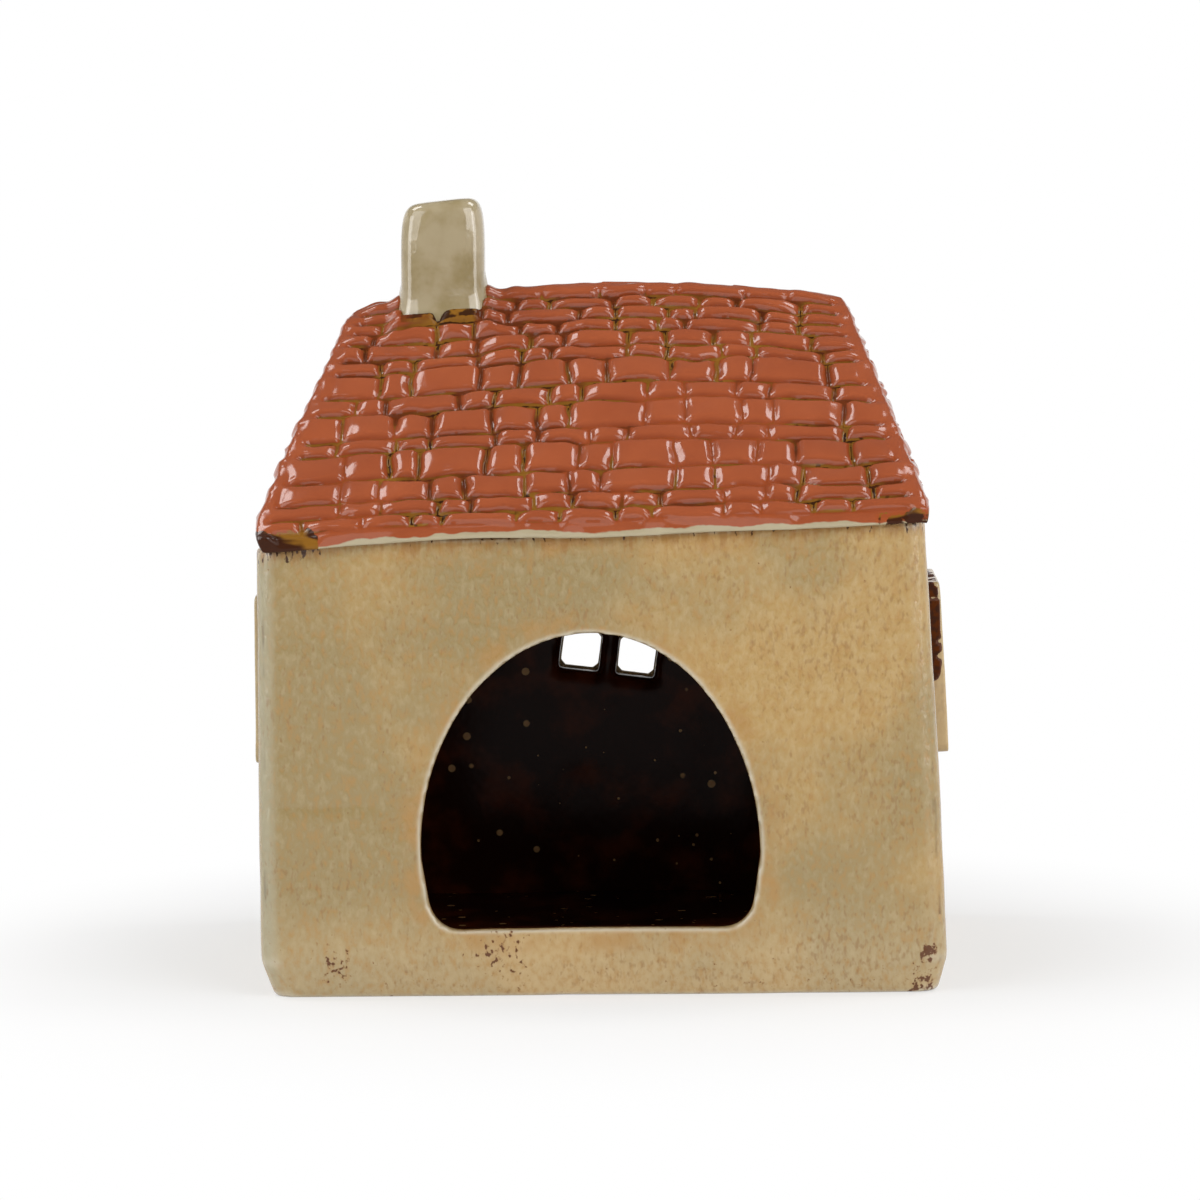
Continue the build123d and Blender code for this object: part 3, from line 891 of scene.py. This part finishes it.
def wall_material(name, gloss):
    """Cream glaze outside and dark glaze inside, darkened as painted shade, scorched under the eaves and
    chipped at the foot.
    """
    glaze = Glaze(name, WALL_ROUGHNESS, gloss)
    colour = cream_glaze(glaze)
    below = glaze.field("below_eaves")
    scorch = glaze.field("scorch")
    streaks = glaze.noise(1.1 * MM, 3.0, glaze.stretched(1, 1, 0.16))
    warmth = glaze.math("ADD", glaze.ramp(below, (0, 0.3), (6, -0.25)), glaze.math("MULTIPLY", scorch, 0.1))
    colour = glaze.mix(glaze.ramp(glaze.math("ADD", streaks, warmth), (0.5, 0), (0.9, 0.7)), colour, STAIN)
    fringe = glaze.noise(1.0 * MM, 3.0, glaze.stretched(1, 1, 0.4))
    burnt = glaze.math("ADD", glaze.ramp(below, (0, 0.2), (7, -0.2)), glaze.math("MULTIPLY", scorch, 0.17))
    colour = glaze.mix(glaze.ramp(glaze.math("ADD", fringe, burnt), (0.81, 0), (0.88, 0.95)), colour, BARE)
    dusting = glaze.ramp(glaze.axis("Z"), (0, 0.06), (20 * MM, 0))
    cluster = glaze.math("ADD", glaze.math("MULTIPLY", glaze.field("marks"), 0.32), dusting)
    spots = glaze.math("ADD", glaze.noise(1.0 * MM, 2.0, glaze.stretched(1, 1, 0.8)), cluster)
    colour = glaze.mix(glaze.ramp(spots, (0.72, 0), (0.8, 0.6)), colour, RUST)
    colour = glaze.mix(glaze.ramp(spots, (0.79, 0), (0.83, 0.9)), colour, CHIP)
    colour = glaze.mix(glaze.field("inside"), colour, dark_inside(glaze))
    glaze.colour(colour)
    glaze.bump(glaze.noise(1.1 * MM, 2.0, glaze.stretched(1, 1, 0.6)), WALL_PEEL * gloss)
    return glaze.material


def trim_material():
    """Paler cream glaze, with bare clay along the seams."""
    glaze = Glaze("window_glaze", WALL_ROUGHNESS)
    colour = cream_glaze(glaze)
    colour = glaze.mix(0.45, colour, CREAM_PALE)
    colour = glaze.mix(glaze.ramp(glaze.field("bared"), (0.45, 0), (0.55, 1)), colour, CHIP)
    glaze.colour(colour)
    glaze.bump(glaze.noise(2.2 * MM), 0.1 * MM)
    return glaze.material


def bare_material():
    """Clay that the glaze has drawn back from."""
    glaze = Glaze("bare_clay", BARE_ROUGHNESS, BARE_GLOSS)
    glaze.colour(glaze.mix(glaze.ramp(glaze.noise(1.5 * MM), (0.4, 0), (0.6, 1)), BARE, CHIP))
    return glaze.material


def roof_material(name, gloss):
    """Terracotta glaze with dark joints, painted shade on the tiles beside them, amber pools, a pale bead
    along the eaves and scorched ends.
    """
    glaze = Glaze(name, ROOF_ROUGHNESS, gloss)
    colour = glaze.mix(glaze.noise(11 * MM, 4.0), TERRACOTTA, TERRACOTTA_DEEP)
    relief = glaze.field("relief")
    thin = glaze.math(
        "MULTIPLY",
        glaze.ramp(relief, (0.15, 0), (0.32, 0.1)),
        glaze.ramp(relief, (0.36, 1), (0.6, 0)),
    )
    colour = glaze.mix(thin, colour, TERRACOTTA_THIN)
    # Painted shade: the tiles darken towards their joints
    colour = glaze.mix(glaze.ramp(relief, (0.4, 0.85), (0.95, 0)), colour, TERRACOTTA_DEEP)
    pools = glaze.ramp(glaze.noise(10 * MM, 2.0), (0.4, 0.05), (0.55, 1))
    cracks = glaze.math("ADD", glaze.noise(2.5 * MM, 2.0), glaze.ramp(relief, (0.02, 0.1), (0.14, -0.15)))
    pooled = glaze.mix(glaze.ramp(cracks, (0.47, 0), (0.6, 1)), AMBER, UMBER)
    joint = glaze.ramp(relief, (0.28, 1), (0.52, 0))
    colour = glaze.mix(glaze.math("MULTIPLY", joint, 0.9), colour, JOINT)
    colour = glaze.mix(glaze.math("MULTIPLY", joint, pools), colour, pooled)
    over = glaze.field("over_eaves")
    wave = glaze.math("MULTIPLY", glaze.noise(6 * MM, 3.0), 2.0)
    bead = glaze.math(
        "MULTIPLY",
        glaze.ramp(glaze.axis("X"), (-54 * MM, 0), (-40 * MM, 0.6)),
        glaze.ramp(glaze.axis("X"), (44 * MM, 1), (54 * MM, 0)),
    )
    lip = glaze.math("SUBTRACT", glaze.math("SUBTRACT", over, wave), bead)
    colour = glaze.mix(glaze.ramp(lip, (-0.6, 1), (-0.3, 0)), colour, KHAKI_PALE)
    ragged = glaze.math("ADD", glaze.field("scorch"), glaze.noise(2.2 * MM, 3.0))
    near_edge = glaze.ramp(over, (2.2, 0.2), (4.2, -0.6))
    layers = glaze.noise(3 * MM, 2.0, glaze.stretched(0.3, 0.3, 1))
    streak = glaze.mix(glaze.ramp(layers, (0.52, 0), (0.64, 1)), BARE, AMBER)
    colour = glaze.mix(glaze.ramp(glaze.math("ADD", ragged, near_edge), (1.2, 0), (1.28, 1)), colour, streak)
    colour = glaze.mix(glaze.field("inside"), colour, dark_inside(glaze))
    glaze.colour(colour)
    glaze.bump(glaze.noise(3 * MM), 0.05 * MM)
    return glaze.material


def chimney_material():
    """Grey-green glaze, paler along the edges and amber at the foot."""
    glaze = Glaze("chimney_glaze", CHIMNEY_ROUGHNESS, CHIMNEY_GLOSS)
    colour = glaze.mix(glaze.ramp(glaze.noise(9 * MM, 4.0), (0.4, 0), (0.65, 1)), KHAKI, SAGE)
    colour = glaze.mix(glaze.ramp(glaze.field("convex"), (0.03, 0), (0.4, 0.6)), colour, KHAKI_PALE)
    foot = glaze.math("ADD", glaze.field("over_roof"), glaze.noise(2.5 * MM))
    colour = glaze.mix(glaze.ramp(foot, (0.9, 1), (1.5, 0)), colour, AMBER)
    glaze.colour(colour)
    glaze.bump(glaze.noise(4 * MM), 0.08 * MM)
    return glaze.material


def door_material():
    """Brown glaze with an upright grain, amber along the edges."""
    glaze = Glaze("door_glaze", DOOR_ROUGHNESS)
    grain = glaze.noise(1.5 * MM, 4.0, glaze.stretched(1, 1, 0.15))
    colour = glaze.mix(grain, TERRACOTTA_DEEP, UMBER)
    colour = glaze.mix(glaze.ramp(glaze.field("convex"), (0.03, 0), (0.2, 0.6)), colour, AMBER)
    glaze.colour(colour)
    glaze.bump(grain, 0.1 * MM)
    return glaze.material


# Studio: white paper with a low white wall round it, under a dimmer ceiling

CEILING = 0.2
WALL_GLOW = 0.4
CAMERA_SIDE = 0.15
# Each softbox: its place, width, height and watts
SOFTBOXES = (
    ((-0.6, 0.06, 1.0), 0.42, 0.42, 3.2),
    ((0.6, 0.06, 1.0), 0.42, 0.42, 3.2),
    ((-0.85, -0.75, 0.6), 0.9, 0.9, 5.0),
    ((0.75, -0.9, 0.6), 0.8, 0.8, 5.7),
    ((-0.72, -0.35, 0.26), 0.3, 0.5, 1.2),
    ((0.68, -0.42, 0.26), 0.3, 0.5, 1.4),
)
PAPER_RADIUS = 2.4
PAPER_WALL = 1.1
PAPER_FACETS = 96
PAPER_WHITE = 0.9
PAPER_ROUGHNESS = 0.9
CAMERA_SIDE_START = -0.9 * PAPER_RADIUS
SHADOW_NEAR = 0.07
SHADOW_FAR = 0.16
SHADOW_LIFT = 0.5


def seen_share(nodes, links):
    """1 for rays that the camera, a reflection or a see-through surface sends out."""
    path = nodes.new("ShaderNodeLightPath")
    total = path.outputs["Is Camera Ray"]
    for name in ("Is Glossy Ray", "Is Transmission Ray"):
        larger = nodes.new("ShaderNodeMath")
        larger.operation = "MAXIMUM"
        links.new(total, larger.inputs[0])
        links.new(path.outputs[name], larger.inputs[1])
        total = larger.outputs["Value"]
    return total


def paper_material():
    """White paper: it takes the house's shadow near it, and is plain white to the camera further off."""
    material = bpy.data.materials.new("paper")
    material.use_nodes = True
    nodes, links = material.node_tree.nodes, material.node_tree.links
    paper = nodes["Principled BSDF"]
    paper.inputs["Base Color"].default_value = (PAPER_WHITE, PAPER_WHITE, PAPER_WHITE, 1)
    paper.inputs["Roughness"].default_value = PAPER_ROUGHNESS
    white = nodes.new("ShaderNodeEmission")
    where = nodes.new("ShaderNodeTexCoord")
    length = nodes.new("ShaderNodeVectorMath")
    length.operation = "LENGTH"
    links.new(where.outputs["Object"], length.inputs[0])
    far = nodes.new("ShaderNodeMapRange")
    far.interpolation_type = "SMOOTHSTEP"
    far.inputs["From Min"].default_value = SHADOW_NEAR
    far.inputs["From Max"].default_value = SHADOW_FAR
    far.inputs["To Min"].default_value = SHADOW_LIFT
    links.new(length.outputs["Value"], far.inputs["Value"])
    share = nodes.new("ShaderNodeMath")
    share.operation = "MULTIPLY"
    links.new(far.outputs["Result"], share.inputs[0])
    links.new(seen_share(nodes, links), share.inputs[1])
    blend = nodes.new("ShaderNodeMixShader")
    links.new(share.outputs["Value"], blend.inputs["Fac"])
    links.new(paper.outputs["BSDF"], blend.inputs[1])
    links.new(white.outputs["Emission"], blend.inputs[2])
    links.new(blend.outputs["Shader"], nodes["Material Output"].inputs["Surface"])
    return material


def glow_material():
    """The paper's upright part: a soft lamp, seen as white at the back and dimmer on the camera's side."""
    material = bpy.data.materials.new("paper_wall")
    material.use_nodes = True
    nodes, links = material.node_tree.nodes, material.node_tree.links
    nodes.remove(nodes["Principled BSDF"])
    glow = nodes.new("ShaderNodeEmission")
    where = nodes.new("ShaderNodeTexCoord")
    split = nodes.new("ShaderNodeSeparateXYZ")
    links.new(where.outputs["Object"], split.inputs["Vector"])
    plain = nodes.new("ShaderNodeMapRange")
    plain.interpolation_type = "SMOOTHSTEP"
    plain.inputs["From Min"].default_value = CAMERA_SIDE_START
    plain.inputs["From Max"].default_value = 0
    plain.inputs["To Min"].default_value = CAMERA_SIDE
    links.new(split.outputs["Y"], plain.inputs["Value"])
    strength = nodes.new("ShaderNodeMapRange")
    strength.inputs["To Min"].default_value = WALL_GLOW
    links.new(plain.outputs["Result"], strength.inputs["To Max"])
    links.new(seen_share(nodes, links), strength.inputs["Value"])
    links.new(strength.outputs["Result"], glow.inputs["Strength"])
    links.new(glow.outputs["Emission"], nodes["Material Output"].inputs["Surface"])
    return material


def make_world():
    """An even white sky, seen only over the paper's wall."""
    world = bpy.data.worlds.new("ceiling")
    scene.world = world
    world.use_nodes = True
    background = world.node_tree.nodes["Background"]
    background.inputs["Color"].default_value = (1, 1, 1, 1)
    background.inputs["Strength"].default_value = CEILING


def make_softboxes():
    """Rectangular lamps that all face the middle of the house."""
    for i, (place, width, height, watts) in enumerate(SOFTBOXES):
        light = bpy.data.lights.new(f"softbox_{i}", "AREA")
        light.shape = "RECTANGLE"
        light.size = width
        light.size_y = height
        light.energy = watts
        lamp = bpy.data.objects.new(light.name, light)
        lamp.location = place
        lamp.rotation_euler = (AIM - Vector(place)).to_track_quat("-Z", "Y").to_euler()
        scene.collection.objects.link(lamp)


def make_paper():
    """A round sheet on the table and a low wall round its edge."""
    turns = [math.tau * i / PAPER_FACETS for i in range(PAPER_FACETS)]
    low = [(PAPER_RADIUS * math.cos(turn), PAPER_RADIUS * math.sin(turn), 0) for turn in turns]
    high = [(x, y, PAPER_WALL) for x, y, _ in low]
    ring = range(PAPER_FACETS)
    stage_piece("paper", low, [tuple(ring)], paper_material())
    after = [(i + 1) % PAPER_FACETS for i in ring]
    sides = [(i, i + PAPER_FACETS, after[i] + PAPER_FACETS, after[i]) for i in ring]
    stage_piece("paper_wall", low + high, sides, glow_material())


def stage_piece(name, points, faces, material):
    mesh = bpy.data.meshes.new(name)
    mesh.from_pydata(points, [], faces)
    mesh.materials.append(material)
    piece = bpy.data.objects.new(name, mesh)
    scene.collection.objects.link(piece)


def make_camera():
    """The photograph's camera."""
    data = bpy.data.cameras.new("camera")
    data.lens = LENS_MM
    data.clip_start = 0.01
    camera = bpy.data.objects.new("camera", data)
    camera.location = EYE
    level = (AIM - EYE).to_track_quat("-Z", "Y")
    camera.rotation_euler = (level @ Quaternion((0, 0, 1), math.radians(-ROLL_DEG))).to_euler()
    scene.collection.objects.link(camera)
    scene.camera = camera


def main():
    scene.view_settings.view_transform = "Standard"
    make_world()
    make_softboxes()
    make_paper()
    make_camera()
    lining = wall_material("inside_glaze", LINING_GLOSS)
    make_walls(wall_material("wall_glaze", WALL_GLOSS), lining)
    make_floor_slab(lining)
    trim = trim_material()
    bare = bare_material()
    for side in ("front", "left", "right"):
        make_trim(f"{side}_window", trim, TRIM_GRAIN, bare)
    make_trim("front_door", door_material(), TRIM_GRAIN, bare)
    make_trim("door_knob", trim, TRIM_GRAIN / 2, bare)
    make_roof(roof_material("roof_glaze", TILE_GLOSS), roof_material("joint_glaze", JOINT_GLOSS))
    make_chimney(chimney_material())


main()
